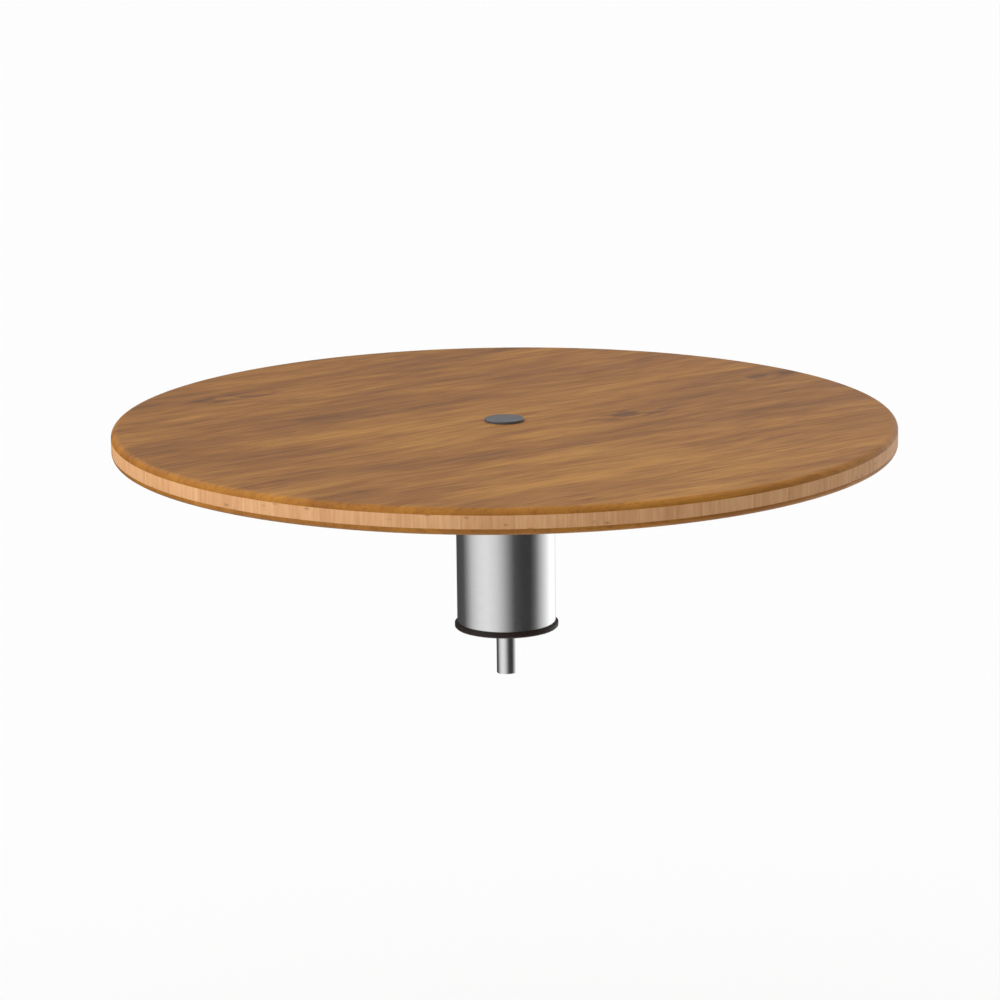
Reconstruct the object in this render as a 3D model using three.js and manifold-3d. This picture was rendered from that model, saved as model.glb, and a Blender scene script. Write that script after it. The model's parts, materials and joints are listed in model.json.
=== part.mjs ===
// A lazy susan turntable that stands on a dining table. A round bamboo board turns on two ball
// bearings at the top of a steel column, and a pin under the column drops into a hole in the table.
// Millimetres, +Z up. The origin is the centre of the foot's underside, where it meets the table.

import * as THREE from "three";
import { mergeVertices } from "three/addons/utils/BufferGeometryUtils.js";
import Module from "manifold-3d";

const wasm = await Module();
wasm.setup();

// ---- Driving dimensions ----

const BOARD = { radius: 300, ply: 5, core: 10, edge: 5, top: 162 };
const CAP = { radius: 15, proud: 2, wall: 2.4, skin: 2.25, round: 0.5 };
const CENTRE_BOLT = { radius: 5, length: 35, head: 8, headHeight: 6, socket: 8, socketDepth: 4 };
const COUNTERBORE = { radius: 13.5, depth: 8 };
const SCREW = { radius: 3, length: 13, socket: 4, socketDepth: 2 };
const BUTTON_HEAD = { radius: 5.25, crown: 3.15, height: 3.25, rim: 1 };
const INSERT = { radius: 5, length: 13 };
const FLANGE = { radius: 90, thickness: 5, boltCircle: 75, bolts: 6 };
const SPINDLE = { collar: 13.5, tail: 2.5, tapDepth: 30, chamfer: 1 };
const SPACER = { radius: 13, length: 24 };
const LOCKNUT = { radius: 16, thickness: 8, slots: 4, slot: 4 };
const BEARING = { bore: 10, radius: 21, width: 12, ball: 3.175, pitch: 15.5, balls: 9, shoulder: 2 };
const SEAL = { inset: 0.25, thickness: 0.75 };
const CAGE = { halfThickness: 1.25, bottom: -4.5, top: 1.75 };
const HOUSING = { lip: 3, land: 18, skirt: 0.5, recess: 0.5 };
const DUST_SEAL = { bore: 29, radius: 33, depth: 1.5, height: 3 };
const TUBE = { radius: 38.05, wall: 2, bottom: 4 };
const BASE = { bottom: 10, thickness: 8 };
const FOOT = { radius: 40, chamfer: 1, recess: 1.25, padWidth: 13, boss: 12, skirt: 2.5 };
const PIN = { radius: 8, length: 37, chamfer: 0.6, thread: 6, threadLength: 23 };
const NUT = { acrossFlats: 18, thickness: 10 };
const WASHER = { thickness: 2.5, boltRadius: 13, pinRadius: 12, spindleRadius: 15, spindle: 2 };

const FIT = 0.1; // radial gap between a piece and the bore that holds it
const RUNNING = 0.175; // gap between the balls and what they roll in
const LOOSE = 0.5; // radial gap round a bolt, and below the flange and the base disc
const PAST = 1; // how far a cutting shape reaches past the face it cuts
const SAME_POINT = 1e-3; // corners closer than this are one corner
const BIG = 64; // sides of the board and the flange
const MIDDLE = 40; // sides of the column and what fits in it
const SMALL = 28; // sides of the bearings
const TINY = 12; // sides of the screws and the inserts

// ---- Heights worked out from them ----

const coreTop = BOARD.top - BOARD.ply;
const coreBottom = coreTop - BOARD.core;
const boardBottom = coreBottom - BOARD.ply;
const counterboreFloor = coreTop - COUNTERBORE.depth;
const flangeBottom = boardBottom - FLANGE.thickness;
const sealTop = flangeBottom - LOOSE;
const housingTop = sealTop - DUST_SEAL.height + DUST_SEAL.depth;
const tubeTop = housingTop - HOUSING.lip;
const upperBearing = housingTop - HOUSING.recess - BEARING.width; // its bottom face
const lowerBearing = upperBearing - SPACER.length - BEARING.width;
const spindleShoulder = upperBearing + BEARING.width;
const locknutTop = lowerBearing - WASHER.spindle;
const spindleBottom = locknutTop - LOCKNUT.thickness - SPINDLE.tail;
const tubeBore = TUBE.radius - TUBE.wall;
const baseTop = BASE.bottom + BASE.thickness;
const pinNutBottom = baseTop + WASHER.thickness;

// ---- Finishes ----

const finish = (color, roughness, metalness) =>
  new THREE.MeshStandardMaterial({ color, roughness, metalness });
const FINISH = {
  facePly: finish("#a9784a", 0.45, 0),
  corePly: finish("#d2a377", 0.55, 0),
  brushedSteel: finish("#b9babb", 0.3, 1),
  bearingSteel: finish("#a8aaac", 0.15, 1),
  zinc: finish("#9a9c9b", 0.35, 1),
  aluminium: finish("#b4b6b8", 0.4, 1),
  brass: finish("#b08d4a", 0.35, 1),
  capGrey: finish("#6f7072", 0.4, 0.6),
  rubber: finish("#2a211f", 0.8, 0),
  nylon: finish("#d8d2bf", 0.6, 0),
};

// ---- Shape helpers ----

// Points on an arc of a profile, from one angle to another in degrees.
function arc(r, z, radius, from, to, steps) {
  return Array.from({ length: steps + 1 }, (_, i) => {
    const angle = THREE.MathUtils.degToRad(from + ((to - from) * i) / steps);
    return [r + radius * Math.cos(angle), z + radius * Math.sin(angle)];
  });
}

// A solid turned about Z. Its profile is [radius, height] points, anticlockwise, and it either
// starts and ends on the axis or is closed here.
function turned(profile, sides) {
  const points = profile.map(([r, z]) => new THREE.Vector2(r, z));
  if (points[0].x > 0) {
    points.push(points[0].clone());
  }
  return new THREE.LatheGeometry(points, sides).rotateX(Math.PI / 2);
}

// A plain ring, or a plain disc when its bore is 0.
function ring(bore, radius, bottom, top, sides) {
  return turned([[bore, bottom], [radius, bottom], [radius, top], [bore, top]], sides);
}

// A hexagonal prism, with a round bore unless it is 0.
function hexagon(acrossFlats, bore, bottom, top) {
  const corner = acrossFlats / Math.sqrt(3);
  const corners = Array.from({ length: 6 }, (_, i) => {
    const angle = (i * Math.PI) / 3;
    return new THREE.Vector2(corner * Math.cos(angle), corner * Math.sin(angle));
  });
  const shape = new THREE.Shape(corners);
  if (bore > 0) {
    shape.holes.push(new THREE.Path().absarc(0, 0, bore, 0, 2 * Math.PI, true));
  }
  const options = { depth: top - bottom, bevelEnabled: false, curveSegments: TINY };
  return new THREE.ExtrudeGeometry(shape, options).translate(0, 0, bottom);
}

// n copies of a shape at equal steps round the Z axis, each turned to face it.
function around(n, radius, make) {
  return Array.from({ length: n }, (_, i) =>
    make().translate(radius, 0, 0).rotateZ((2 * Math.PI * i) / n),
  );
}

function toManifold(geometry) {
  const bare = geometry.clone();
  bare.deleteAttribute("normal");
  bare.deleteAttribute("uv");
  const merged = mergeVertices(bare, SAME_POINT);
  return new wasm.Manifold(
    new wasm.Mesh({
      numProp: 3,
      vertProperties: merged.attributes.position.array,
      triVerts: new Uint32Array(merged.index.array),
    }),
  );
}

function toGeometry(solid) {
  const mesh = solid.getMesh();
  const geometry = new THREE.BufferGeometry();
  geometry.setAttribute("position", new THREE.BufferAttribute(mesh.vertProperties, 3));
  geometry.setIndex(new THREE.BufferAttribute(mesh.triVerts, 1));
  geometry.computeVertexNormals();
  return geometry;
}

// The first shape with the others cut out of it.
function cut(body, tools) {
  const solid = tools.reduce((left, tool) => left.subtract(toManifold(tool)), toManifold(body));
  return toGeometry(solid);
}

const turntable = new THREE.Group();
const column = new THREE.Group();

function add(group, name, material, geometry) {
  const mesh = new THREE.Mesh(geometry, FINISH[material]);
  mesh.name = name;
  group.add(mesh);
}

// ---- Board: three bamboo plies, the centre bolt under its cap, and the screw inserts ----

// The bores for the inserts, which enter the board from below.
function insertBores() {
  const top = boardBottom + INSERT.length;
  const bore = () => ring(0, INSERT.radius + FIT, boardBottom - PAST, top, TINY);
  return around(FLANGE.bolts, FLANGE.boltCircle, bore);
}

function topPly() {
  const hole = CAP.radius + 2 * FIT;
  const rounded = arc(BOARD.radius - BOARD.edge, coreTop, BOARD.edge, 0, 90, 4);
  return turned([[hole, coreTop], ...rounded, [hole, BOARD.top]], BIG);
}

function corePly() {
  const boltHole = CENTRE_BOLT.radius + LOOSE;
  const profile = [
    [boltHole, coreBottom],
    [BOARD.radius, coreBottom],
    [BOARD.radius, coreTop],
    [COUNTERBORE.radius, coreTop],
    [COUNTERBORE.radius, counterboreFloor],
    [boltHole, counterboreFloor],
  ];
  return cut(turned(profile, BIG), insertBores());
}

function bottomPly() {
  const boltHole = CENTRE_BOLT.radius + LOOSE;
  const rounded = arc(BOARD.radius - BOARD.edge, coreBottom, BOARD.edge, 270, 360, 4);
  const profile = [[boltHole, boardBottom], ...rounded, [boltHole, coreBottom]];
  return cut(turned(profile, BIG), insertBores());
}

// A round cover that stands on the core ply in the top ply's hole and hides the centre bolt.
function centreCap() {
  const top = BOARD.top + CAP.proud;
  const inside = CAP.radius - CAP.wall;
  const profile = [
    [0, top - CAP.skin],
    [inside, top - CAP.skin],
    [inside, coreTop],
    [CAP.radius, coreTop],
    ...arc(CAP.radius - CAP.round, top - CAP.round, CAP.round, 0, 90, 3),
    [0, top],
  ];
  return turned(profile, SMALL);
}

// Holds the board and the flange down on the spindle.
function centreBolt() {
  const headBottom = counterboreFloor + WASHER.thickness;
  const headTop = headBottom + CENTRE_BOLT.headHeight;
  const profile = [
    [0, headBottom - CENTRE_BOLT.length],
    [CENTRE_BOLT.radius, headBottom - CENTRE_BOLT.length],
    [CENTRE_BOLT.radius, headBottom],
    [CENTRE_BOLT.head, headBottom],
    [CENTRE_BOLT.head, headTop],
    [0, headTop],
  ];
  const socket = hexagon(CENTRE_BOLT.socket, 0, headTop - CENTRE_BOLT.socketDepth, headTop + PAST);
  return cut(turned(profile, TINY), [socket]);
}

function centreWasher() {
  const top = counterboreFloor + WASHER.thickness;
  return ring(CENTRE_BOLT.radius + FIT, WASHER.boltRadius, counterboreFloor, top, SMALL);
}

function insertSleeve() {
  const bore = SCREW.radius + FIT;
  return ring(bore, INSERT.radius, boardBottom, boardBottom + INSERT.length, TINY);
}

// A button-head screw, which enters the flange from below.
function flangeScrew() {
  const headBottom = flangeBottom - BUTTON_HEAD.height;
  const profile = [
    [0, headBottom],
    [BUTTON_HEAD.crown, headBottom],
    [BUTTON_HEAD.radius, flangeBottom - BUTTON_HEAD.rim],
    [BUTTON_HEAD.radius, flangeBottom],
    [SCREW.radius, flangeBottom],
    [SCREW.radius, flangeBottom + SCREW.length],
    [0, flangeBottom + SCREW.length],
  ];
  const socket = hexagon(SCREW.socket, 0, headBottom - PAST, headBottom + SCREW.socketDepth);
  return cut(turned(profile, TINY), [socket]);
}

add(turntable, "board_top_ply", "facePly", topPly());
add(turntable, "board_core_ply", "corePly", corePly());
add(turntable, "board_bottom_ply", "facePly", bottomPly());
add(turntable, "centre_cap", "capGrey", centreCap());
add(turntable, "centre_bolt", "zinc", centreBolt());
add(turntable, "centre_washer", "zinc", centreWasher());
around(FLANGE.bolts, FLANGE.boltCircle, insertSleeve).forEach((sleeve, i) =>
  add(turntable, `board_insert_${i + 1}`, "brass", sleeve),
);
around(FLANGE.bolts, FLANGE.boltCircle, flangeScrew).forEach((screw, i) =>
  add(turntable, `flange_screw_${i + 1}`, "zinc", screw),
);

// ---- Hub: the flange under the board, and the spindle that runs down through the bearings ----

function mountingFlange() {
  const plate = ring(BEARING.bore + FIT, FLANGE.radius, flangeBottom, boardBottom, BIG);
  const hole = () => ring(0, SCREW.radius + 2 * FIT, flangeBottom - PAST, boardBottom + PAST, TINY);
  return cut(plate, around(FLANGE.bolts, FLANGE.boltCircle, hole));
}

function spindle() {
  const tap = CENTRE_BOLT.radius + FIT;
  const profile = [
    [0, spindleBottom],
    [BEARING.bore - SPINDLE.chamfer, spindleBottom],
    [BEARING.bore, spindleBottom + SPINDLE.chamfer],
    [BEARING.bore, spindleShoulder],
    [SPINDLE.collar, spindleShoulder],
    [SPINDLE.collar, flangeBottom],
    [BEARING.bore, flangeBottom],
    [BEARING.bore, boardBottom],
    [tap, boardBottom],
    [tap, boardBottom - SPINDLE.tapDepth],
    [0, boardBottom - SPINDLE.tapDepth],
  ];
  return turned(profile, SMALL);
}

// A sleeve that keeps the bearings' inner races apart.
function bearingSpacer() {
  const bottom = lowerBearing + BEARING.width;
  return ring(BEARING.bore + FIT, SPACER.radius, bottom, upperBearing, SMALL);
}

function spindleWasher() {
  return ring(BEARING.bore + FIT, WASHER.spindleRadius, locknutTop, lowerBearing, SMALL);
}

// Holds the bearings on the spindle. Its slots take a hook spanner.
function spindleLocknut() {
  const bottom = locknutTop - LOCKNUT.thickness;
  const middle = bottom + LOCKNUT.thickness / 2;
  const nut = ring(BEARING.bore + FIT, LOCKNUT.radius, bottom, locknutTop, SMALL);
  const cutter = new THREE.BoxGeometry(LOCKNUT.slot, LOCKNUT.slot, LOCKNUT.thickness + 2 * PAST);
  cutter.translate(0, 0, middle);
  return cut(nut, around(LOCKNUT.slots, LOCKNUT.radius, () => cutter.clone()));
}

add(turntable, "mounting_flange", "brushedSteel", mountingFlange());
add(turntable, "spindle", "bearingSteel", spindle());
add(turntable, "bearing_spacer", "zinc", bearingSpacer());
add(turntable, "spindle_washer", "zinc", spindleWasher());
add(turntable, "spindle_locknut", "zinc", spindleLocknut());

// ---- Ball bearings: two races, nine balls in a cage, and a seal on each face ----
// Each is made about its own centre and raised to its place.

const halfWidth = BEARING.width / 2;
const groove = BEARING.ball + RUNNING;
const grooveAngle = THREE.MathUtils.radToDeg(Math.acos(BEARING.shoulder / groove));

function outerRace() {
  const inside = BEARING.pitch + BEARING.shoulder;
  const profile = [
    [inside, -halfWidth],
    [BEARING.radius, -halfWidth],
    [BEARING.radius, halfWidth],
    [inside, halfWidth],
    ...arc(BEARING.pitch, 0, groove, grooveAngle, -grooveAngle, 4),
  ];
  return turned(profile, SMALL);
}

function innerRace() {
  const bore = BEARING.bore + FIT;
  const outside = BEARING.pitch - BEARING.shoulder;
  const profile = [
    [bore, -halfWidth],
    [outside, -halfWidth],
    ...arc(BEARING.pitch, 0, groove, 180 + grooveAngle, 180 - grooveAngle, 4),
    [outside, halfWidth],
    [bore, halfWidth],
  ];
  return turned(profile, SMALL);
}

// Fills the gap between the races, held by the outer one and just clear of the inner.
function seal(bottom) {
  const bore = BEARING.pitch - BEARING.shoulder + 2 * FIT;
  const radius = BEARING.pitch + BEARING.shoulder - FIT;
  return ring(bore, radius, bottom, bottom + SEAL.thickness, SMALL);
}

// A rim below the balls, with fingers that stand up between them.
function ballCage() {
  const bore = BEARING.pitch - CAGE.halfThickness;
  const radius = BEARING.pitch + CAGE.halfThickness;
  const pocket = BEARING.ball + 3 * FIT;
  const cutter = new THREE.CylinderGeometry(pocket, pocket, 4 * CAGE.halfThickness, TINY);
  cutter.rotateZ(Math.PI / 2);
  const rim = ring(bore, radius, CAGE.bottom, CAGE.top, SMALL);
  return cut(rim, around(BEARING.balls, BEARING.pitch, () => cutter.clone()));
}

function addBearing(place, cageGroup, bottom) {
  const raise = (geometry) => geometry.translate(0, 0, bottom + halfWidth);
  const topSeal = halfWidth - SEAL.inset - SEAL.thickness;
  add(column, `${place}_outer_race`, "bearingSteel", raise(outerRace()));
  add(column, `${place}_top_seal`, "rubber", raise(seal(topSeal)));
  add(column, `${place}_bottom_seal`, "rubber", raise(seal(SEAL.inset - halfWidth)));
  add(turntable, `${place}_inner_race`, "bearingSteel", raise(innerRace()));
  add(cageGroup, `${place}_ball_cage`, "nylon", raise(ballCage()));
  const ball = () => new THREE.SphereGeometry(BEARING.ball, 8, 6);
  around(BEARING.balls, BEARING.pitch, ball).forEach((shape, i) =>
    add(cageGroup, `${place}_ball_${i + 1}`, "bearingSteel", raise(shape)),
  );
}

const upperCage = new THREE.Group();
const lowerCage = new THREE.Group();
addBearing("upper", upperCage, upperBearing);
addBearing("lower", lowerCage, lowerBearing);

// ---- Column: tube, bearing housing, base disc, locating pin and rubber foot ----

// Pressed into the tube, with a lip that covers the tube's top edge.
function bearingHousing() {
  const seat = BEARING.radius + FIT;
  const body = tubeBore - FIT;
  const bottom = lowerBearing - HOUSING.skirt;
  const sealFloor = housingTop - DUST_SEAL.depth;
  const profile = [
    [seat, bottom],
    [body, bottom],
    [body, tubeTop],
    [TUBE.radius, tubeTop],
    [TUBE.radius, housingTop],
    [DUST_SEAL.radius, housingTop],
    [DUST_SEAL.radius, sealFloor],
    [DUST_SEAL.bore, sealFloor],
    [DUST_SEAL.bore, housingTop],
    [seat, housingTop],
    [seat, upperBearing],
    [HOUSING.land, upperBearing],
    [HOUSING.land, lowerBearing + BEARING.width],
    [seat, lowerBearing + BEARING.width],
  ];
  return turned(profile, MIDDLE);
}

// Sits in the housing's groove and reaches up to just below the flange.
function dustSeal() {
  const bottom = housingTop - DUST_SEAL.depth;
  return ring(DUST_SEAL.bore + FIT, DUST_SEAL.radius - FIT, bottom, sealTop, MIDDLE);
}

// A press-in plug whose flange is the column's foot. Its underside bears on a ring-shaped pad.
function footPlug() {
  const bore = PIN.radius + FIT;
  const spigot = tubeBore - FIT;
  const top = BASE.bottom - LOOSE;
  const pad = FOOT.radius - FOOT.padWidth;
  const profile = [
    [bore, FOOT.recess],
    [pad - FOOT.recess, FOOT.recess],
    [pad, 0],
    [FOOT.radius - FOOT.chamfer, 0],
    [FOOT.radius, FOOT.chamfer],
    [FOOT.radius, TUBE.bottom],
    [spigot, TUBE.bottom],
    [spigot, top],
    [spigot - FOOT.skirt, top],
    [spigot - FOOT.skirt, TUBE.bottom],
    [FOOT.boss, TUBE.bottom],
    [FOOT.boss, top],
    [bore, top],
  ];
  return turned(profile, MIDDLE);
}

// Its shoulder stops against the base disc, and its thread goes through the disc to a nut.
function locatingPin() {
  const threadTop = BASE.bottom + PIN.threadLength;
  const profile = [
    [0, -PIN.length],
    [PIN.radius - PIN.chamfer, -PIN.length],
    [PIN.radius, PIN.chamfer - PIN.length],
    [PIN.radius, BASE.bottom],
    [PIN.thread, BASE.bottom],
    [PIN.thread, threadTop],
    [0, threadTop],
  ];
  return turned(profile, SMALL);
}

const threadHole = PIN.thread + FIT;
const pinWasher = ring(threadHole, WASHER.pinRadius, baseTop, pinNutBottom, SMALL);
const pinNut = hexagon(NUT.acrossFlats, threadHole, pinNutBottom, pinNutBottom + NUT.thickness);
const baseDisc = ring(threadHole, tubeBore - FIT, BASE.bottom, baseTop, MIDDLE);
const columnTube = ring(tubeBore, TUBE.radius, TUBE.bottom, tubeTop, MIDDLE);

add(column, "column_tube", "brushedSteel", columnTube);
add(column, "bearing_housing", "aluminium", bearingHousing());
add(column, "dust_seal", "rubber", dustSeal());
add(column, "base_disc", "zinc", baseDisc);
add(column, "locating_pin", "brushedSteel", locatingPin());
add(column, "pin_washer", "zinc", pinWasher);
add(column, "pin_nut", "zinc", pinNut);
add(column, "foot_plug", "rubber", footPlug());

export default new THREE.Group().add(column, upperCage, lowerCage, turntable);
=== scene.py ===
import json
import math

import bpy
from mathutils import Euler, Matrix, Vector


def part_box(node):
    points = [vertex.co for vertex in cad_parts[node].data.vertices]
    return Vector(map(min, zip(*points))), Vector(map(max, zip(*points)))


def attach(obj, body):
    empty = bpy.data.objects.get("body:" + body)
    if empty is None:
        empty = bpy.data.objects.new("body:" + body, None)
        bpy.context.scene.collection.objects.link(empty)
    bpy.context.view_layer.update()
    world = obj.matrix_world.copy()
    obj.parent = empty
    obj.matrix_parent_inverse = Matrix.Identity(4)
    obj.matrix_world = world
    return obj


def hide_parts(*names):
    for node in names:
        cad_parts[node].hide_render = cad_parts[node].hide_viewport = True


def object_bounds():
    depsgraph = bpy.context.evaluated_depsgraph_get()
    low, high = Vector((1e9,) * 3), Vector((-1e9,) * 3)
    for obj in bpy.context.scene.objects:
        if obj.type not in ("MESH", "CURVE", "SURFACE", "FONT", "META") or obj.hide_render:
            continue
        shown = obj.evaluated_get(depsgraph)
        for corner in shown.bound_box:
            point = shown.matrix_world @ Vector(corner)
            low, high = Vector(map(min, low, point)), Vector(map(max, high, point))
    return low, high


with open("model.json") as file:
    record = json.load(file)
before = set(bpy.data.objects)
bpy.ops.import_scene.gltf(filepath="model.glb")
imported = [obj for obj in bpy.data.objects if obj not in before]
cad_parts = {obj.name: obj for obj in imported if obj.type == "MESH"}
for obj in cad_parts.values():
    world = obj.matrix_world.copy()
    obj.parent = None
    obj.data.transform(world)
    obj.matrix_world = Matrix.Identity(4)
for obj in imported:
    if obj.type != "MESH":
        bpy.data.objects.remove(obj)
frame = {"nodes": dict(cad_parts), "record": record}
nodes = frame["nodes"]
cad_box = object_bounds()

# ---- Sizes, in metres ----

MM = 0.001
SCREWS = 6  # that hold the flange under the board
BALLS = 9  # in each bearing
BEARINGS = ("upper", "lower")
PAST = 1 * MM  # how far a cutting shape reaches past the face that it cuts
SAME = 1e-6  # places closer than this are one place

board_low, board_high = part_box("board_bottom_ply")[0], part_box("board_top_ply")[1]
core_low, core_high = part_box("board_core_ply")
flange_low, flange_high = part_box("mounting_flange")
cap_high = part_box("centre_cap")[1]
board_radius = board_high.x

GRAIN_ANGLE = math.radians(35)  # of the board's fibres, from +X towards +Y
CAP = {"round": 0.5 * MM, "wall": 2.4 * MM, "skin": 2.25 * MM}  # its edge, side and top
CAP_RING = 0.6  # of its radius, where a ring divides its flat top
CAP_HOLE_GAP = 0.2 * MM  # round the cap, in the top ply
BOLT_BORE = 5.5 * MM  # for the centre bolt, through the board
COUNTERBORE = {"radius": 13.5 * MM, "depth": 8 * MM}
INSERT_BORE = {"radius": 5.1 * MM, "depth": 13 * MM}
INSERT = {"bore": 3.1 * MM, "pitch": 2 * MM}
SCREW = {"shank": 3 * MM, "rim": 0.4 * MM, "tip": 0.5 * MM, "pitch": 1 * MM}
SCREW_SOCKET = {"flats": 4 * MM, "depth": 2 * MM}
BOLT = {"shank": 5 * MM, "tip": 1 * MM, "plain": 6 * MM, "rim": 0.6 * MM, "pitch": 1.5 * MM}
BOLT_SOCKET = {"flats": 8 * MM, "depth": 4 * MM}
GRIPS = {"count": 36, "depth": 0.12 * MM, "above_seat": 0.8 * MM, "below_top": 1.2 * MM, "step": 0.5 * MM}
STUD = {"radius": 6 * MM, "pitch": 1.75 * MM}  # the pin's threaded end
SPINDLE = {"radius": 10 * MM, "pitch": 1.5 * MM}  # and its thread
ON_SPINDLE = 10.1 * MM  # the bore of what fits on the spindle
FLANGE_HOLE = 3.2 * MM
LOCKNUT_SLOTS = {"count": 4, "width": 4 * MM}
PIN_NUT = {"flats": 18 * MM, "bore": 6.1 * MM, "spare": 0.2 * MM, "face": 0.95, "bevel": 30}
GROOVE_GAP = 0.175 * MM  # between the balls and the grooves that they run in
POCKET_GAP = 0.3 * MM  # between the balls and their cage
SHOULDER = 2 * MM  # from the middle of the balls to the races' edges
THREAD_DEPTH = 0.55  # of the pitch
THREAD_STEPS = 8  # in each pitch

# How far the edges are rounded
PLY_EDGE = 0.15 * MM
SEAL_EDGE = 0.2 * MM
PIN_EDGE = 0.2 * MM
PLAIN_EDGE = 0.3 * MM
RACE_EDGE = 0.4 * MM
FLANGE_EDGE = 0.5 * MM
NUT_EDGE = 0.6 * MM

# How finely the shapes are divided
WIDE = 360  # sides of the board and its flange
FINE = 192  # sides of the column's pieces
SMALL = 96  # sides of the pieces inside it
TINY = 48  # sides of the screws
ARC = 10  # steps in a quarter circle of the board's edge or a screw's head
CAP_ARC = 8  # steps round the cap's edge
BALL_CUTS = 8  # squares along a side of the cube that a ball is made from
GROOVE = 12  # steps across a race's groove
FACE_STEP = 40 * MM  # across the board's flat faces
HOLE_STEP = 5 * MM  # down the cap's hole


# ---- Camera ----

CAMERA = {"place": (-0.0134, -3.359, 0.8654), "pitch": 0.2241, "yaw": 0.0028, "roll": -0.0118}
LENS = {"length": 161.6, "sensor": 36}  # mm
IN_VIEW = (0.01, 100)  # metres from the camera


def make_camera():
    data = bpy.data.cameras.new("camera")
    data.lens = LENS["length"]
    data.sensor_width = LENS["sensor"]
    data.clip_start, data.clip_end = IN_VIEW
    camera = bpy.data.objects.new("camera", data)
    upright = Euler((math.pi / 2 - CAMERA["pitch"], 0, -CAMERA["yaw"])).to_matrix()
    roll = Matrix.Rotation(CAMERA["roll"], 3, "Z")
    camera.matrix_world = Matrix.Translation(CAMERA["place"]) @ (upright @ roll).to_4x4()
    bpy.context.scene.collection.objects.link(camera)
    bpy.context.scene.camera = camera


# ---- Node helpers ----


class Graph:
    """A node tree with short ways to add nodes and join them."""

    def __init__(self, tree):
        self.tree = tree
        self.tree.nodes.clear()

    def node(self, kind, inputs=None, **settings):
        made = self.tree.nodes.new(kind)
        for key, value in settings.items():
            setattr(made, key, value)
        for key, value in (inputs or {}).items():
            self.put(made.inputs[key], value)
        return made

    def put(self, socket, value):
        if isinstance(value, bpy.types.NodeSocket):
            self.tree.links.new(value, socket)
        else:
            socket.default_value = value

    def math(self, operation, a, b=0.0, c=0.0):
        return self.node("ShaderNodeMath", {0: a, 1: b, 2: c}, operation=operation).outputs[0]

    def times(self, a, b):
        return self.math("MULTIPLY", a, b)

    def total(self, *terms):
        """The sum of (value, weight) pairs."""
        value, weight = terms[0]
        result = self.times(value, weight)
        for value, weight in terms[1:]:
            result = self.math("MULTIPLY_ADD", value, weight, result)
        return result

    def remap(self, value, low, high, to_low=0.0, to_high=1.0, smooth=False):
        kind = "SMOOTHSTEP" if smooth else "LINEAR"
        inputs = {"Value": value, "From Min": low, "From Max": high, "To Min": to_low, "To Max": to_high}
        return self.node("ShaderNodeMapRange", inputs, interpolation_type=kind).outputs[0]

    def mix(self, factor, a, b, blend="MIX"):
        made = self.node("ShaderNodeMix", data_type="RGBA", blend_type=blend)
        self.put(made.inputs["Factor"], factor)
        self.put(made.inputs[6], a)
        self.put(made.inputs[7], b)
        return made.outputs[2]

    def ramp(self, value, stops):
        made = self.node("ShaderNodeValToRGB", {"Fac": value})
        points = made.color_ramp.elements
        while len(points) < len(stops):
            points.new(1.0)
        for point, (place, color) in zip(points, stops):
            point.position = place
            point.color = color
        return made.outputs["Color"]

    def noise(self, vector, scale=1.0, detail=2.0, roughness=0.5):
        inputs = {"Vector": vector, "Scale": scale, "Detail": detail, "Roughness": roughness}
        return self.node("ShaderNodeTexNoise", inputs).outputs["Fac"]

    def cells(self, vector):
        """Voronoi cells one unit apart: a random tone for each, and the distance from its centre."""
        made = self.node("ShaderNodeTexVoronoi", {"Vector": vector, "Scale": 1.0})
        return self.split(made.outputs["Color"])[0], made.outputs["Distance"]

    def strips(self, value, width):
        """Uneven strips along a value: a random tone for each, and the distance from its edge."""
        inputs = {"W": value, "Scale": 1 / width}
        tone = self.node("ShaderNodeTexVoronoi", inputs, voronoi_dimensions="1D")
        edge = self.node("ShaderNodeTexVoronoi", inputs, voronoi_dimensions="1D", feature="DISTANCE_TO_EDGE")
        return self.split(tone.outputs["Color"])[0], edge.outputs["Distance"]

    def place(self):
        """The object's own coordinates, in metres."""
        return self.node("ShaderNodeTexCoord").outputs["Object"]

    def scaled(self, vector, scale, rotation=(0, 0, 0)):
        inputs = {"Vector": vector, "Scale": scale, "Rotation": rotation}
        return self.node("ShaderNodeMapping", inputs).outputs["Vector"]

    def split(self, vector):
        return self.node("ShaderNodeSeparateXYZ", {"Vector": vector}).outputs

    def join(self, x, y, z):
        return self.node("ShaderNodeCombineXYZ", {"X": x, "Y": y, "Z": z}).outputs["Vector"]

    def radius(self):
        """The distance from the turntable's axis."""
        x, y, _ = self.split(self.place())
        return self.math("SQRT", self.math("MULTIPLY_ADD", x, x, self.times(y, y)))

    def turn(self):
        """The angle round the turntable's axis."""
        x, y, _ = self.split(self.place())
        return self.math("ARCTAN2", y, x)

    def bump(self, height, distance, strength):
        inputs = {"Height": height, "Distance": distance, "Strength": strength}
        return self.node("ShaderNodeBump", inputs).outputs["Normal"]

    def surface(self, **inputs):
        shader = self.node("ShaderNodeBsdfPrincipled")
        for key, value in inputs.items():
            self.put(shader.inputs[key.replace("_", " ")], value)
        self.node("ShaderNodeOutputMaterial", {"Surface": shader.outputs["BSDF"]})


def material(name):
    made = bpy.data.materials.new(name)
    made.use_nodes = True
    return made, Graph(made.node_tree)


def linear(red, green, blue):
    """A colour given as 0 to 255 on screen, as the shader needs it."""
    channels = [c / 255 for c in (red, green, blue)]
    return (*[c / 12.92 if c <= 0.04045 else ((c + 0.055) / 1.055) ** 2.4 for c in channels], 1)


def grey(value):
    return (value, value, value, 1)


# ---- Materials ----

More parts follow.
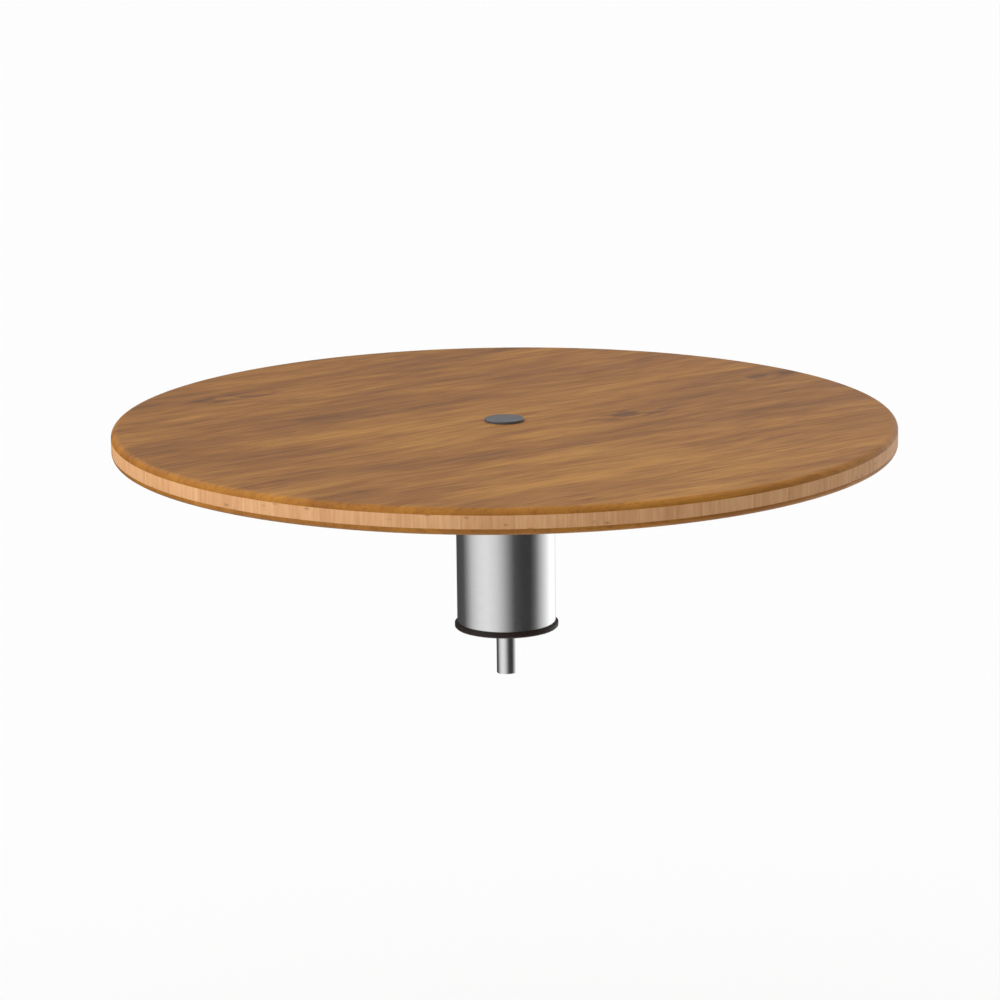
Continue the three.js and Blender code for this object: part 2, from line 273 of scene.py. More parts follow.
# The layers of the face's grain: how many of each to a metre, along the grain and across it
GRAIN = {
    "sway": (5, 9),
    "ripple": (19, 34),
    "band": (4.5, 23),
    "streak": (13, 82),
    "line": (26, 190),
    "fibre": (30, 1300),
    "pore": (24, 520),
    "wisp": (42, 150),
    "patch": (6, 16),
}
SWAY, RIPPLE = 26 * MM, 4 * MM  # how far the first two bend the others

# Knots and lighter stretches in the face, each an x, a y and a reach, in metres
KNOTS = [(-0.213, 0.105, 0.020), (0.098, 0.018, 0.022), (0.21, 0.16, 0.014)]
PALE = [(0.14, -0.17, 0.16), (-0.03, -0.02, 0.11)]
KNOT_LENGTH, PALE_LENGTH = 3.0, 1.6  # how far they are drawn out along the grain

# The wood's colours, from dark to light
FACE_TONES = [
    (0.30, linear(101, 67, 40)),
    (0.43, linear(126, 82, 42)),
    (0.53, linear(143, 96, 46)),
    (0.68, linear(171, 120, 56)),
]
EDGE_TONES = [
    (0.25, linear(196, 143, 99)),
    (0.5, linear(214, 162, 115)),
    (0.75, linear(228, 180, 132)),
]
SEAM, JOINT, SPOT = linear(150, 98, 60), linear(140, 90, 54), linear(112, 82, 64)
STRIP, BLOCK = 2.6 * MM, 42 * MM  # how wide the core's strips and the blocks of them are

# A lighter, warmer golden tint on the face plies' rounded edges
RIM_TINT = (1.3, 1.22, 0.88, 1)
RIM = (board_radius - 6 * MM, board_radius - 0.5 * MM)  # where it fades in
RIM_EVEN, RIM_TONE = 0.35, 0.53  # how far its tone is evened out, and towards what


def face_bamboo():
    """Caramel wood: broken streaks along the grain, fine fibres, small knots, a golden rounded edge."""
    made, g = material("face_bamboo")
    flat = g.scaled(g.place(), (1, 1, 1), (0, 0, -GRAIN_ANGLE))
    to_grain = Matrix.Rotation(-GRAIN_ANGLE, 2)

    def layer(name, vector, detail, roughness=0.5):
        along, across = GRAIN[name]
        return g.noise(g.scaled(vector, (along, across, across)), 1.0, detail, roughness)

    def away(x, y, reach, length):
        """Where a point lies from a place in the face, in units of its reach, which is drawn out along
        the grain."""
        along, across = to_grain @ Vector((x, y))
        offset = g.node("ShaderNodeVectorMath", {0: flat, 1: (along, across, 0)}, operation="SUBTRACT")
        squeezed = g.scaled(offset.outputs[0], (1 / (reach * length), 1 / reach, 0))
        distance = g.node("ShaderNodeVectorMath", {0: squeezed}, operation="LENGTH").outputs["Value"]
        return squeezed, distance

    along, across, height = g.split(flat)
    bends = (layer("sway", flat, 1.0), SWAY), (layer("ripple", flat, 1.0), RIPPLE)
    across = g.total((across, 1.0), *bends)
    shade = 0.0
    for x, y, reach in KNOTS:
        squeezed, distance = away(x, y, reach, KNOT_LENGTH)
        near = g.remap(distance, 0.0, 1.6, 1.0, 0.0, smooth=True)
        pull = g.times(g.times(near, g.split(squeezed)[1]), reach * 0.5)
        across = g.math("SUBTRACT", across, pull)
        heart = g.remap(distance, 0.1, 1.1, 1.0, 0.0, smooth=True)
        shade = g.math("MAXIMUM", shade, heart)
    light = 0.0
    for x, y, reach in PALE:
        _, distance = away(x, y, reach, PALE_LENGTH)
        light = g.math("MAXIMUM", light, g.remap(distance, 0.2, 1.1, 1.0, 0.0, smooth=True))
    bent = g.join(along, across, height)
    band = layer("band", bent, 2.0)
    streak = layer("streak", bent, 4.0)
    line = layer("line", bent, 4.0, 0.7)
    fibre = g.remap(layer("fibre", bent, 2.0, 0.6), 0.3, 0.7)
    pore = g.remap(layer("pore", bent, 2.0), 0.53, 0.68)
    wisp = g.remap(layer("wisp", bent, 1.0), 0.48, 0.62)
    patch = g.remap(layer("patch", bent, 1.0), 0.55, 0.7)
    tone = g.total((band, 0.36), (streak, 0.34), (line, 0.26), (fibre, 0.08), (light, 0.06))
    stain = g.total((shade, 0.03), (g.times(shade, wisp), 0.2), (g.times(patch, wisp), 0.05), (pore, 0.1))
    tone = g.math("SUBTRACT", tone, stain)
    rim = g.remap(g.radius(), *RIM, smooth=True)
    even = g.times(rim, RIM_EVEN)
    tone = g.total((tone, g.math("SUBTRACT", 1.0, even)), (even, RIM_TONE))
    color = g.mix(rim, g.ramp(tone, FACE_TONES), RIM_TINT, "MULTIPLY")
    rough = g.remap(g.math("ADD", streak, fibre), 0.6, 1.4, 0.52, 0.42)
    relief = g.bump(g.total((fibre, 0.6), (line, 0.4), (pore, -0.5)), 0.12 * MM, 0.35)
    g.surface(Base_Color=color, Roughness=rough, Specular_IOR_Level=0.12, Normal=relief)
    return made


def edge_bamboo():
    """The core ply's rim: side-pressed strips seen as fine upright lines, in blocks, with small nodes."""
    made, g = material("edge_bamboo")
    along = g.times(g.turn(), board_radius)
    height = g.split(g.place())[2]
    strip, seam = g.strips(along, STRIP)
    block, joint = g.strips(along, BLOCK)
    fine = g.noise(g.join(g.times(along, 480), g.times(height, 60), 0.0), 1.0, 3.0, 0.6)
    broad = g.noise(g.join(g.times(along, 70), g.times(height, 30), 0.0))
    tone = g.total((strip, 0.16), (block, 0.1), (fine, 0.42), (broad, 0.32))
    color = g.ramp(tone, EDGE_TONES)
    color = g.mix(g.remap(seam, 0.0, 0.14, 0.16, 0.0), color, SEAM)
    color = g.mix(g.remap(joint, 0.0, 0.012, 0.35, 0.0), color, JOINT)
    spot, distance = g.cells(g.join(g.times(along, 110), g.times(height, 260), 0.0))
    node = g.times(g.remap(distance, 0.05, 0.42, 1.0, 0.0, smooth=True), g.remap(spot, 0.91, 0.93))
    color = g.mix(g.times(node, 0.55), color, SPOT)
    relief = g.bump(g.math("SUBTRACT", fine, g.remap(seam, 0.0, 0.14, 0.5, 0.0)), 0.1 * MM, 0.35)
    rough = g.remap(fine, 0.3, 0.7, 0.62, 0.5)
    g.surface(Base_Color=color, Roughness=rough, Specular_IOR_Level=0.15, Normal=relief)
    return made


def brushed_stainless():
    """Satin stainless: fine lines round the tube and a faint mottle."""
    made, g = material("brushed_stainless")
    height = g.split(g.place())[2]
    wound = g.join(g.times(g.turn(), 3.0), g.times(g.radius(), 5200), g.times(height, 5200))
    lines = g.noise(wound, 1.0, 3.0)
    grain = g.noise(g.place(), 900.0)
    cloud = g.noise(g.place(), 240.0)
    color = g.mix(g.remap(lines, 0.3, 0.7), grey(0.73), grey(0.8))
    rough = g.math("ADD", g.remap(grain, 0.3, 0.7, 0.15, 0.2), g.remap(cloud, 0.3, 0.7, -0.02, 0.02))
    relief = g.bump(g.math("ADD", lines, grain), 0.01 * MM, 0.3)
    g.surface(Base_Color=color, Metallic=1.0, Roughness=rough, Normal=relief)
    return made


def black_rubber():
    """Dark brown-black moulded rubber with a fine matt grain."""
    made, g = material("black_rubber")
    grain = g.noise(g.place(), 1800.0, 3.0, 0.6)
    cloud = g.noise(g.place(), 60.0)
    color = g.mix(g.remap(cloud, 0.3, 0.7), linear(38, 27, 25), linear(50, 38, 35))
    relief = g.bump(grain, 0.04 * MM, 0.5)
    rough = g.remap(grain, 0.3, 0.7, 0.5, 0.65)
    g.surface(Base_Color=color, Roughness=rough, Specular_IOR_Level=0.3, Normal=relief)
    return made


def grey_cap():
    """Dark grey satin plastic with a fine spark-eroded grain."""
    made, g = material("grey_cap")
    grain = g.noise(g.place(), 2400.0, 2.0, 0.6)
    cloud = g.noise(g.place(), 180.0)
    color = g.mix(g.remap(cloud, 0.3, 0.7), linear(68, 68, 72), linear(80, 79, 81))
    relief = g.bump(grain, 0.03 * MM, 0.4)
    g.surface(Base_Color=color, Roughness=g.remap(grain, 0.3, 0.7, 0.3, 0.4), Normal=relief)
    return made


def turned_metal(name, dark, light, rough_low, rough_high):
    """Metal turned on a lathe: fine rings about the axis, with slight staining."""
    made, g = material(name)
    height = g.split(g.place())[2]
    rings = g.noise(g.join(g.times(g.radius(), 4200), g.times(height, 4200), 0.0))
    cloud = g.noise(g.place(), 45.0, 3.0)
    color = g.mix(g.remap(cloud, 0.3, 0.7), dark, light)
    relief = g.bump(rings, 0.01 * MM, 0.4)
    rough = g.remap(rings, 0.3, 0.7, rough_low, rough_high)
    g.surface(Base_Color=color, Metallic=1.0, Roughness=rough, Normal=relief)
    return made


def cage_nylon():
    """Off-white moulded nylon."""
    made, g = material("cage_nylon")
    grain = g.noise(g.place(), 700.0)
    color = g.mix(g.remap(grain, 0.3, 0.7), linear(206, 198, 174), linear(222, 216, 196))
    relief = g.bump(grain, 0.02 * MM, 0.3)
    g.surface(Base_Color=color, Roughness=g.remap(grain, 0.3, 0.7, 0.45, 0.55), Normal=relief)
    return made


# Each material slot in the record, and its material
MATERIALS = {
    "face_bamboo": face_bamboo(),
    "edge_bamboo": edge_bamboo(),
    "brushed_stainless": brushed_stainless(),
    "grey_cap": grey_cap(),
    "black_rubber": black_rubber(),
    "turned_aluminium": turned_metal("turned_aluminium", grey(0.5), grey(0.6), 0.3, 0.42),
    "insert_brass": turned_metal("insert_brass", (0.5, 0.33, 0.12, 1), (0.6, 0.42, 0.17, 1), 0.28, 0.4),
    "cage_nylon": cage_nylon(),
    "bearing_steel": turned_metal("bearing_steel", grey(0.5), grey(0.6), 0.1, 0.18),
    "zinc_plated_steel": turned_metal("zinc_plated_steel", grey(0.42), (0.55, 0.56, 0.58, 1), 0.25, 0.38),
}
SLOTS = {row["node"]: row["material_slot"] for row in frame["record"]["subparts"]}
BODY_OF = {n: body for body, members in frame["record"]["behaviour"]["bodies"].items() for n in members}


# ---- Shapes: each is a list of points and a list of faces ----

SHALLOW = math.radians(25)  # a corner that turns less than this isn't rounded
CORNER_STEPS = 4  # in each rounded corner
CORNER_REACH = 0.45  # of a side's length, the most that one rounded corner takes


def arc(centre, radius, start, end, steps):
    """Points (radius, height) on an arc between two angles in degrees."""
    angles = [math.radians(start + (end - start) * s / steps) for s in range(steps + 1)]
    return [(centre[0] + radius * math.cos(a), centre[1] + radius * math.sin(a)) for a in angles]


def stepped(start, end, step):
    """Points along a straight stretch of a profile, no more than a step apart, without its end."""
    a, b = Vector(start), Vector(end)
    count = max(1, math.ceil((b - a).length / step))
    return [tuple(a.lerp(b, i / count)) for i in range(count)]


def rounded(profile, radius, closed):
    """The profile with its sharp corners rounded, except the ends of an open one."""
    points = [Vector(p) for p in profile]
    last = len(points) - 1
    out = []
    for i, corner in enumerate(points):
        into, away = corner - points[i - 1], points[(i + 1) % len(points)] - corner
        turn = into.angle(away, 0)
        if (not closed and i in (0, last)) or turn < SHALLOW:
            out.append(corner)
            continue
        room = CORNER_REACH * min(into.length, away.length)
        reach = min(radius * math.tan(turn / 2), room)
        start, end = corner - into.normalized() * reach, corner + away.normalized() * reach
        for s in range(CORNER_STEPS + 1):
            t = s / CORNER_STEPS
            out.append(start * (1 - t) ** 2 + corner * 2 * t * (1 - t) + end * t**2)
    return [tuple(p) for p in out]


def turned(profile, segments, closed=True, relief=None):
    """A solid turned about Z from points (radius, height), anticlockwise. An open profile starts and
    ends on the axis. The relief gives the true radius at a radius, height and angle."""
    points, rings, faces = [], [], []
    for r, z in profile:
        if r < SAME:
            rings.append([len(points)] * segments)
            points.append((0, 0, z))
            continue
        rings.append(list(range(len(points), len(points) + segments)))
        for s in range(segments):
            angle = 2 * math.pi * s / segments
            true = relief(r, z, angle) if relief else r
            points.append((true * math.cos(angle), true * math.sin(angle), z))
    following = rings[1:] + rings[:1] if closed else rings[1:]
    for low, high in zip(rings, following):
        for s in range(segments):
            n = (s + 1) % segments
            corners = [low[s], low[n], high[n], high[s]]
            face = [c for k, c in enumerate(corners) if c not in corners[:k]]
            if len(face) > 2:
                faces.append(face)
    return points, faces


def threaded(profile, thread, segments, closed=False, relief=None):
    """A turned solid with a screw thread on the outside, which fades out over its first and last
    turn. The thread is its outer radius, low end, high end and pitch."""
    radius, low, high, pitch = thread
    fine = []
    for a, b in zip(profile, profile[1:] + profile[:1]):
        fine.append(a)
        start, end = max(a[1], low), min(b[1], high)
        if max(abs(a[0] - radius), abs(b[0] - radius)) < SAME and end > start:
            steps = stepped((radius, start), (radius, end), pitch / THREAD_STEPS)
            fine += [step for step in steps if step[1] - a[1] > SAME]

    def cut_away(r, z, angle):
        if abs(r - radius) > SAME or not low < z < high:
            return relief(r, z, angle) if relief else r
        fade = min(1, (z - low) / pitch, (high - z) / pitch)
        wave = abs(2 * ((z / pitch - angle / (2 * math.pi)) % 1) - 1)
        return r - THREAD_DEPTH * pitch * fade * wave

    return turned(fine, segments, closed, cut_away)


def cylinder(radius, low, high, segments=TINY):
    """A plain cylinder about the Z axis."""
    return turned([(0, low), (radius, low), (radius, high), (0, high)], segments, closed=False)


def prism(sides, across_flats, low, high):
    """A prism about the Z axis, with a corner towards +X."""
    corner = across_flats / 2 / math.cos(math.pi / sides)
    ring = [(corner * math.cos(2 * math.pi * i / sides), corner * math.sin(2 * math.pi * i / sides))
            for i in range(sides)]
    points = [(x, y, z) for z in (low, high) for x, y in ring]
    faces = [[i, (i + 1) % sides, sides + (i + 1) % sides, sides + i] for i in range(sides)]
    return points, faces + [list(range(sides))[::-1], list(range(sides, 2 * sides))]


def ball(radius):
    """A ball made from a cube's six faces, so that it has no poles."""
    index, points, faces = {}, [], []

    def corner(p):
        key = tuple(round(c, 6) for c in p)
        if key not in index:
            index[key] = len(points)
            points.append(tuple(Vector([math.tan(c * math.pi / 4) for c in p]).normalized() * radius))
        return index[key]

    steps = [2 * i / BALL_CUTS - 1 for i in range(BALL_CUTS + 1)]
    for axis in range(3):
        for side in (-1, 1):
            for a, b in zip(steps, steps[1:]):
                for c, d in zip(steps, steps[1:]):
                    loop = [(a, c), (b, c), (b, d), (a, d)][::side]
                    square = [[0, 0, 0] for _ in loop]
                    for p, (u, v) in zip(square, loop):
                        p[axis], p[(axis + 1) % 3], p[(axis + 2) % 3] = side, u, v
                    faces.append([corner(p) for p in square])
    return points, faces


def moved(shape, offset, angle=0.0):
    """The shape moved by an offset, and then turned about the Z axis."""
    turn = Matrix.Rotation(angle, 3, "Z")
    return [tuple(turn @ (Vector(p) + Vector(offset))) for p in shape[0]], shape[1]


def joined(shapes):
    points, faces = [], []
    for more_points, more_faces in shapes:
        faces += [[c + len(points) for c in face] for face in more_faces]
        points += more_points
    return points, faces


def around(count, shape, offset):
    """Copies of a shape at equal steps round the Z axis."""
    return joined([moved(shape, offset, 2 * math.pi * i / count) for i in range(count)])


# ---- Mesh helpers ----


def mesh_object(name, shape):
    mesh = bpy.data.meshes.new(name)
    mesh.from_pydata(shape[0], [], shape[1])
    mesh.update()
    made = bpy.data.objects.new(name, mesh)
    bpy.context.scene.collection.objects.link(made)
    return made


def cut(piece, shape, operation="DIFFERENCE"):
    """Cuts a shape out of a piece, or keeps only what they share."""
    tool = mesh_object("tool", shape)
    modifier = piece.modifiers.new("cut", "BOOLEAN")
    modifier.operation = operation
    modifier.solver = "EXACT"
    modifier.object = tool
    graph = bpy.context.evaluated_depsgraph_get()
    plain = piece.data
    piece.data = bpy.data.meshes.new_from_object(piece.evaluated_get(graph))
    piece.modifiers.clear()
    bpy.data.meshes.remove(plain)
    bpy.data.meshes.remove(tool.data)


CRISP = math.radians(30)  # edges sharper than this aren't shaded smooth


def stand_for(piece, node):
    """Shades a new piece, and gives it its node's material slot, body and place in the model."""
    piece.data.shade_smooth()
    piece.data.set_sharp_from_angle(angle=CRISP)
    piece.data.materials.clear()
    piece.data.materials.append(MATERIALS[SLOTS[node]])
    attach(piece, BODY_OF[node])
    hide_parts(node)


def half_plane_profile(node):
    """The outline of a turned CAD node, read from its mesh where it crosses the half plane y = 0, x > 0."""
    mesh = nodes[node].data
    places = [tuple(round(c, 7) for c in v.co) for v in mesh.vertices]
    inside = [abs(p[1]) < SAME and p[0] > -SAME for p in places]
    next_to = {}
    for edge in mesh.edges:
        a, b = edge.vertices
        if inside[a] and inside[b] and places[a] != places[b]:
            pa, pb = (places[a][0], places[a][2]), (places[b][0], places[b][2])
            next_to.setdefault(pa, set()).add(pb)
            next_to.setdefault(pb, set()).add(pa)
    ends = [p for p, others in next_to.items() if len(others) == 1]
    closed = not ends
    start = min(ends or next_to, key=lambda p: (p[1], p[0]))
    path, before = [start], None
    while True:
        onward = [p for p in sorted(next_to[path[-1]]) if p != before]
        if not onward or onward[0] == start or len(path) > len(next_to):
            break
        before = path[-1]
        path.append(onward[0])
    area = sum(a[0] * b[1] - b[0] * a[1] for a, b in zip(path, path[1:] + path[:1]))
    return (path if area > 0 else path[::-1]), closed


def add(node, shape):
    """A fine piece in a CAD node's place."""
    stand_for(mesh_object(node + "_fine", shape), node)


def resurfaced(node, segments, edge=PLAIN_EDGE, thread=None):
    """A fine, smooth copy of a turned CAD node, with its edges just broken."""
    profile, closed = half_plane_profile(node)
    profile = rounded(profile, edge, closed)
    add(node, threaded(profile, thread, segments, closed) if thread else turned(profile, segments, closed))


# ---- Stage ----

FLOOR = {"reach": 60, "drop": 0.56, "shade": 0.84}


def make_floor():
    """A pale floor well below the object. It takes the studio's light and the object's soft shadow,
    but throws no light, reflection or shadow back on the object."""
    size = FLOOR["reach"]
    square = [(-size, -size, 0), (size, -size, 0), (size, size, 0), (-size, size, 0)]
    floor = mesh_object("floor", (square, [[0, 1, 2, 3]]))
    floor.location.z = cad_box[0].z - FLOOR["drop"]
    made, g = material("floor")
    g.surface(Base_Color=grey(FLOOR["shade"]), Roughness=1.0, Specular_IOR_Level=0.0)
    floor.data.materials.append(made)
    floor.visible_diffuse = False
    floor.visible_glossy = False
    floor.visible_shadow = False


# Brightness of the studio's walls by direction: degrees from the camera's side, + to the right. The
# ceiling and the walls' upper part are brighter on the left, by SIDE_LIGHT.
ROUND_THE_STUDIO = [
    (-180, 0.15), (-166, 0.08), (-148, 0.07), (-118, 0.09), (-103, 0.31), (-88, 0.62), (-68, 0.86),
    (-46, 0.93), (-24, 0.77), (-8, 0.52), (6, 0.26), (19, 0.075), (40, 0.046), (60, 0.043), (73, 0.16),
    (90, 0.57), (105, 0.9), (122, 1.31), (150, 1.31), (166, 0.9), (180, 0.15),
]
OVERHEAD = 1.05
SIDE_LIGHT = 0.5
UNDERFOOT = 1.2
BACKDROP = 1.0  # what the camera sees of the studio
CEILING = (0.2, 0.5)  # where the walls fade into the ceiling: Z of the direction, 1 straight up
GROUND = (-0.85, -0.5)  # where the light from below fades into the walls
BRIGHTEST = 2.0  # the others are fractions of this, since a ramp's colours stop at 1


def make_world():
    world = bpy.data.worlds.new("studio")
    world.use_nodes = True
    bpy.context.scene.world = world
    g = Graph(world.node_tree)
    x, y, z = g.split(g.node("ShaderNodeTexCoord").outputs["Generated"])
    turn = g.math("ARCTAN2", x, g.times(y, -1.0))
    stops = [((angle + 180) / 360, grey(value / BRIGHTEST)) for angle, value in ROUND_THE_STUDIO]
    wall = g.ramp(g.remap(turn, -math.pi, math.pi), stops)
    above = g.total((x, -SIDE_LIGHT / BRIGHTEST), (1.0, OVERHEAD / BRIGHTEST))
    studio = g.mix(g.remap(z, *CEILING, smooth=True), wall, above)
    studio = g.mix(g.remap(z, *GROUND, 1.0, 0.0, smooth=True), studio, grey(UNDERFOOT / BRIGHTEST))
    seen = g.node("ShaderNodeLightPath").outputs["Is Camera Ray"]
    light = g.mix(seen, studio, grey(BACKDROP / BRIGHTEST))
    shown = g.node("ShaderNodeBackground", {"Color": light, "Strength": BRIGHTEST})
    g.node("ShaderNodeOutputWorld", {"Surface": shown.outputs[0]})


KEY_LIGHT = {"azimuth": -75, "elevation": 28, "spread": 40, "energy": 1.26}  # angles in degrees


def make_key_light():
    """A broad soft key light from the left. The steel doesn't reflect it, only the studio's walls."""
    azimuth, elevation = math.radians(KEY_LIGHT["azimuth"]), math.radians(KEY_LIGHT["elevation"])
    data = bpy.data.lights.new("key_light", "SUN")
    data.energy = KEY_LIGHT["energy"]
    data.angle = math.radians(KEY_LIGHT["spread"])
    light = bpy.data.objects.new("key_light", data)
    level = Vector((math.sin(azimuth), -math.cos(azimuth), 0))
    toward = level * math.cos(elevation) + Vector((0, 0, math.sin(elevation)))
    light.rotation_euler = toward.to_track_quat("Z", "Y").to_euler()
    light.visible_glossy = False
    bpy.context.scene.collection.objects.link(light)


# ---- The board ----


def insert_bores():
    """The six bores for the inserts, as shapes to cut out of the board."""
    low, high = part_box("board_insert_1")
    bore = cylinder(INSERT_BORE["radius"], board_low.z - PAST, board_low.z + INSERT_BORE["depth"])
    return around(SCREWS, bore, ((low.x + high.x) / 2, 0, 0))


def build_board():
    """Three plies. The face plies' edges are quarter circles, and the core's rim is straight."""
    edge = core_low.z - board_low.z
    inner = board_radius - edge
    hole = cap_high.x + CAP_HOLE_GAP
    top = arc((inner, core_high.z), edge, 0, 90, ARC)[:-1]
    top += stepped((inner, board_high.z), (hole, board_high.z), FACE_STEP)
    top += stepped((hole, board_high.z), (hole, core_high.z), HOLE_STEP)
    top += stepped((hole, core_high.z), (board_radius, core_high.z), FACE_STEP)
    add("board_top_ply", turned(top, WIDE))

    bottom = stepped((BOLT_BORE, board_low.z), (inner, board_low.z), FACE_STEP)
    bottom += arc((inner, core_low.z), edge, 270, 360, ARC)
    bottom += [(BOLT_BORE, core_low.z)]
    piece = mesh_object("board_bottom_ply_fine", turned(bottom, WIDE))
    cut(piece, insert_bores())
    stand_for(piece, "board_bottom_ply")

    floor = core_high.z - COUNTERBORE["depth"]
    core = [(BOLT_BORE, core_low.z), (board_radius, core_low.z), (board_radius, core_high.z)]
    core += [(COUNTERBORE["radius"], core_high.z), (COUNTERBORE["radius"], floor), (BOLT_BORE, floor)]
    piece = mesh_object("board_core_ply_fine", turned(rounded(core, PLY_EDGE, True), WIDE))
    cut(piece, insert_bores())
    stand_for(piece, "board_core_ply")


def build_cap():
    """A thin cap with a rounded edge, hollow below, that stands on the core over the bolt's head."""
    radius, top, low = cap_high.x, cap_high.z, core_high.z
    inside, under = radius - CAP["wall"], top - CAP["skin"]
    profile = [(0, under), *stepped((inside, under), (inside, low), MM), (inside, low), (radius, low)]
    profile += arc((radius - CAP["round"], top - CAP["round"]), CAP["round"], 0, 90, CAP_ARC)
    profile += [(CAP_RING * radius, top), (0, top)]
    add("centre_cap", turned(profile, FINE, closed=False))


# ---- Fasteners ----


def screw_at(number, shape):
    """The shape of a screw or insert in its own place round the flange."""
    low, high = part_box("flange_screw_1")
    return moved(shape, ((low.x + high.x) / 2, 0, 0), 2 * math.pi * (number - 1) / SCREWS)


def build_screws():
    """Button-head screws, with a domed head, a hexagon socket and a thread."""
    low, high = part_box("flange_screw_1")
    head, shank, seat, crown = (high.x - low.x) / 2, SCREW["shank"], flange_low.z, low.z
    rim, tip = seat - SCREW["rim"], high.z - SCREW["tip"]
    dome = [(head * math.sin(a), rim - (rim - crown) * math.cos(a))
            for a in [math.pi / 2 * step / ARC for step in range(ARC + 1)]]
    profile = [*dome, (head, seat), (shank, seat), (shank, tip), (shank - SCREW["tip"], high.z)]
    thread = (shank, seat + SCREW["pitch"], tip, SCREW["pitch"])
    screw = threaded(profile + [(0, high.z)], thread, TINY)
    socket = prism(6, SCREW_SOCKET["flats"], crown - PAST, crown + SCREW_SOCKET["depth"])
    for number in range(1, SCREWS + 1):
        node = f"flange_screw_{number}"
        piece = mesh_object(node + "_fine", screw_at(number, screw))
        cut(piece, screw_at(number, socket))
        stand_for(piece, node)


def build_inserts():
    """Brass sleeves with a coarse thread that bites into the board."""
    low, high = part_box("board_insert_1")
    radius, bore = (high.x - low.x) / 2, INSERT["bore"]
    profile = [(bore, low.z), (radius, low.z), (radius, high.z), (bore, high.z)]
    profile = rounded(profile, PLAIN_EDGE, True)
    thread = (radius, low.z + INSERT["pitch"] / 2, high.z - INSERT["pitch"] / 2, INSERT["pitch"])
    sleeve = threaded(profile, thread, TINY, closed=True)
    for number in range(1, SCREWS + 1):
        add(f"board_insert_{number}", screw_at(number, sleeve))


def build_centre_bolt():
    """A cap-head bolt: a head gripped all round, with a hexagon socket, and a thread."""
    low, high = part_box("centre_bolt")
    head, shank, seat = high.x, BOLT["shank"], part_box("centre_washer")[1].z
    tip, rim = BOLT["tip"], BOLT["rim"]
    grip_low, grip_high = seat + GRIPS["above_seat"], high.z - GRIPS["below_top"]

    def grips(r, z, angle):
        inside = abs(r - head) < SAME and grip_low < z < grip_high
        return r - GRIPS["depth"] * (1 - math.cos(GRIPS["count"] * angle)) if inside else r

    profile = [(0, low.z), (shank - tip, low.z), (shank, low.z + tip), (shank, seat), (head, seat)]
    profile += stepped((head, grip_low), (head, grip_high), GRIPS["step"])
    profile += [(head, grip_high), (head, high.z - rim), (head - rim, high.z), (0, high.z)]
    thread = (shank, low.z + tip, seat - BOLT["plain"], BOLT["pitch"])
    piece = mesh_object("centre_bolt_fine", threaded(profile, thread, 4 * GRIPS["count"], relief=grips))
    cut(piece, prism(6, BOLT_SOCKET["flats"], high.z - BOLT_SOCKET["depth"], high.z + PAST))
    stand_for(piece, "centre_bolt")


def build_pin_nut():
    """A hexagon nut, with its corners turned down to a circle on both faces."""
    low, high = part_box("pin_nut")
    face, corner = PIN_NUT["face"] * PIN_NUT["flats"] / 2, high.x + PIN_NUT["spare"]
    drop = (corner - face) * math.tan(math.radians(PIN_NUT["bevel"]))
    profile = [(0, low.z), (face, low.z), (corner, low.z + drop), (corner, high.z - drop), (face, high.z)]
    piece = mesh_object("pin_nut_fine", turned(profile + [(0, high.z)], SMALL, closed=False))
    cut(piece, prism(6, PIN_NUT["flats"], low.z - PAST, high.z + PAST), "INTERSECT")
    cut(piece, cylinder(PIN_NUT["bore"], low.z - PAST, high.z + PAST, SMALL))
    stand_for(piece, "pin_nut")


# ---- Hub ----


def build_flange():
    """A steel disc with its edges broken and six screw holes."""
    screw_low, screw_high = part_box("flange_screw_1")
    bottom, top = flange_low.z, flange_high.z
    profile = [(ON_SPINDLE, bottom), (flange_high.x, bottom), (flange_high.x, top), (ON_SPINDLE, top)]
    piece = mesh_object("mounting_flange_fine", turned(rounded(profile, FLANGE_EDGE, True), WIDE))
    hole = cylinder(FLANGE_HOLE, bottom - PAST, top + PAST)
    cut(piece, around(SCREWS, hole, ((screw_low.x + screw_high.x) / 2, 0, 0)))
    stand_for(piece, "mounting_flange")


def build_locknut():
    """A ring nut with four slots for a hook spanner."""
    low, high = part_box("spindle_locknut")
    profile = [(ON_SPINDLE, low.z), (high.x, low.z), (high.x, high.z), (ON_SPINDLE, high.z)]
    piece = mesh_object("spindle_locknut_fine", turned(rounded(profile, NUT_EDGE, True), SMALL))
    slot = prism(4, LOCKNUT_SLOTS["width"], low.z - PAST, high.z + PAST)
    slot = moved(slot, (0, 0, 0), math.pi / 4)
    cut(piece, around(LOCKNUT_SLOTS["count"], slot, (high.x, 0, 0)))
    stand_for(piece, "spindle_locknut")


# ---- Bearings ----


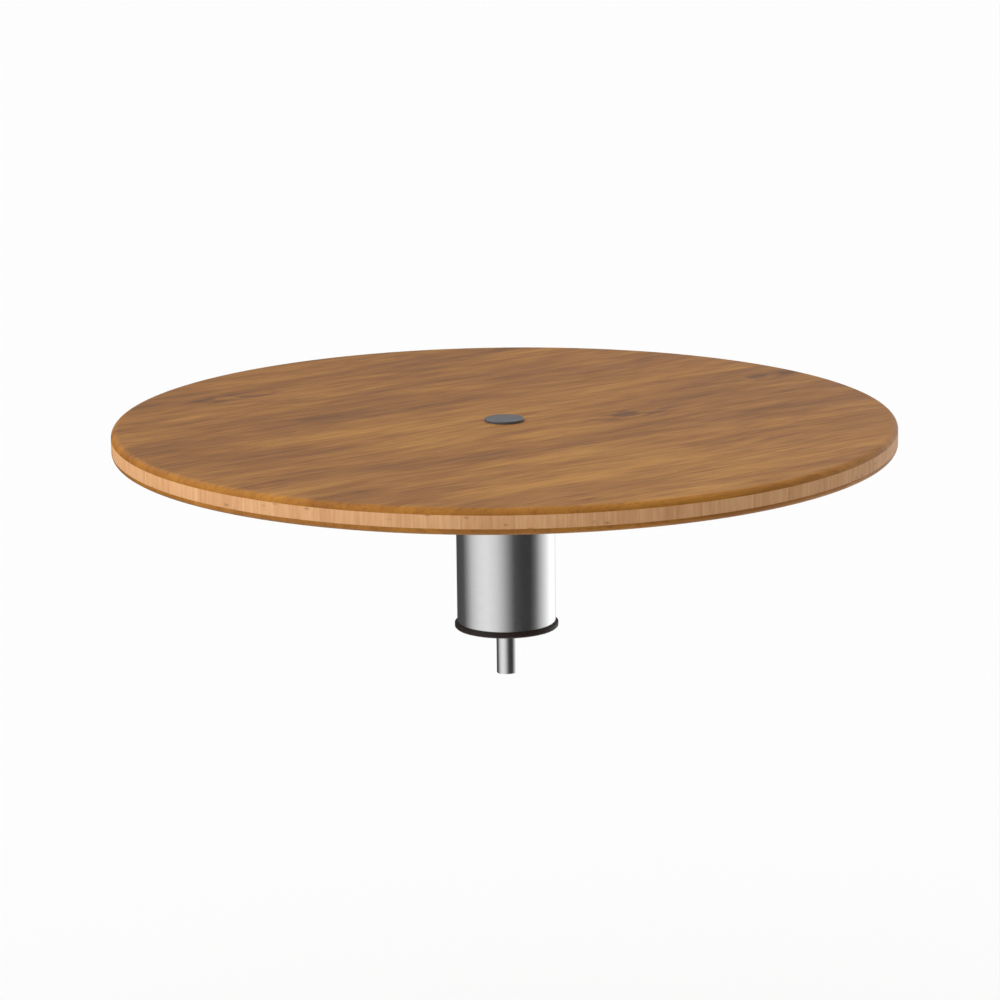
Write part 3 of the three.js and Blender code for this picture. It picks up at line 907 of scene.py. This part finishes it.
def build_bearing(place):
    """Two grooved races, nine balls in a cage with a pocket for each, and a seal on each side."""
    low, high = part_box(f"{place}_ball_1")
    radius, pitch, middle = (high.x - low.x) / 2, (low.x + high.x) / 2, (low.z + high.z) / 2
    groove = radius + GROOVE_GAP
    reach = math.degrees(math.acos(SHOULDER / groove))

    low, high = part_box(f"{place}_outer_race")
    land = pitch + SHOULDER
    profile = [(land, low.z), (high.x, low.z), (high.x, high.z), (land, high.z)]
    profile += arc((pitch, middle), groove, reach, -reach, GROOVE)
    add(f"{place}_outer_race", turned(rounded(profile, RACE_EDGE, True), SMALL))

    land = pitch - SHOULDER
    profile = [(ON_SPINDLE, low.z), (land, low.z)]
    profile += arc((pitch, middle), groove, 180 + reach, 180 - reach, GROOVE)
    profile += [(land, high.z), (ON_SPINDLE, high.z)]
    add(f"{place}_inner_race", turned(rounded(profile, RACE_EDGE, True), SMALL))

    low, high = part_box(f"{place}_ball_cage")
    inside = 2 * pitch - high.x
    profile = [(inside, low.z), (high.x, low.z), (high.x, high.z), (inside, high.z)]
    piece = mesh_object(f"{place}_ball_cage_fine", turned(rounded(profile, PLAIN_EDGE, True), FINE))
    cut(piece, around(BALLS, ball(radius + POCKET_GAP), (pitch, 0, middle)))
    stand_for(piece, f"{place}_ball_cage")

    for number in range(1, BALLS + 1):
        angle = 2 * math.pi * (number - 1) / BALLS
        add(f"{place}_ball_{number}", moved(ball(radius), (pitch, 0, middle), angle))
    for side in ("top", "bottom"):
        resurfaced(f"{place}_{side}_seal", SMALL, SEAL_EDGE)


# ---- The whole ----

make_camera()
make_floor()
make_world()
make_key_light()
build_board()
build_cap()
build_screws()
build_inserts()
build_centre_bolt()
build_flange()
build_locknut()
build_pin_nut()
for bearing in BEARINGS:
    build_bearing(bearing)
for ring in ("column_tube", "foot_plug", "bearing_housing", "dust_seal", "base_disc"):
    resurfaced(ring, FINE)
for ring in ("centre_washer", "spindle_washer", "bearing_spacer", "pin_washer"):
    resurfaced(ring, SMALL)
stud = (STUD["radius"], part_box("base_disc")[1].z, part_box("locating_pin")[1].z, STUD["pitch"])
resurfaced("locating_pin", SMALL, PIN_EDGE, stud)
spindle_end = (SPINDLE["radius"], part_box("spindle")[0].z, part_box("spindle_washer")[0].z, SPINDLE["pitch"])
resurfaced("spindle", SMALL, thread=spindle_end)

bpy.context.scene.view_settings.view_transform = "Standard"
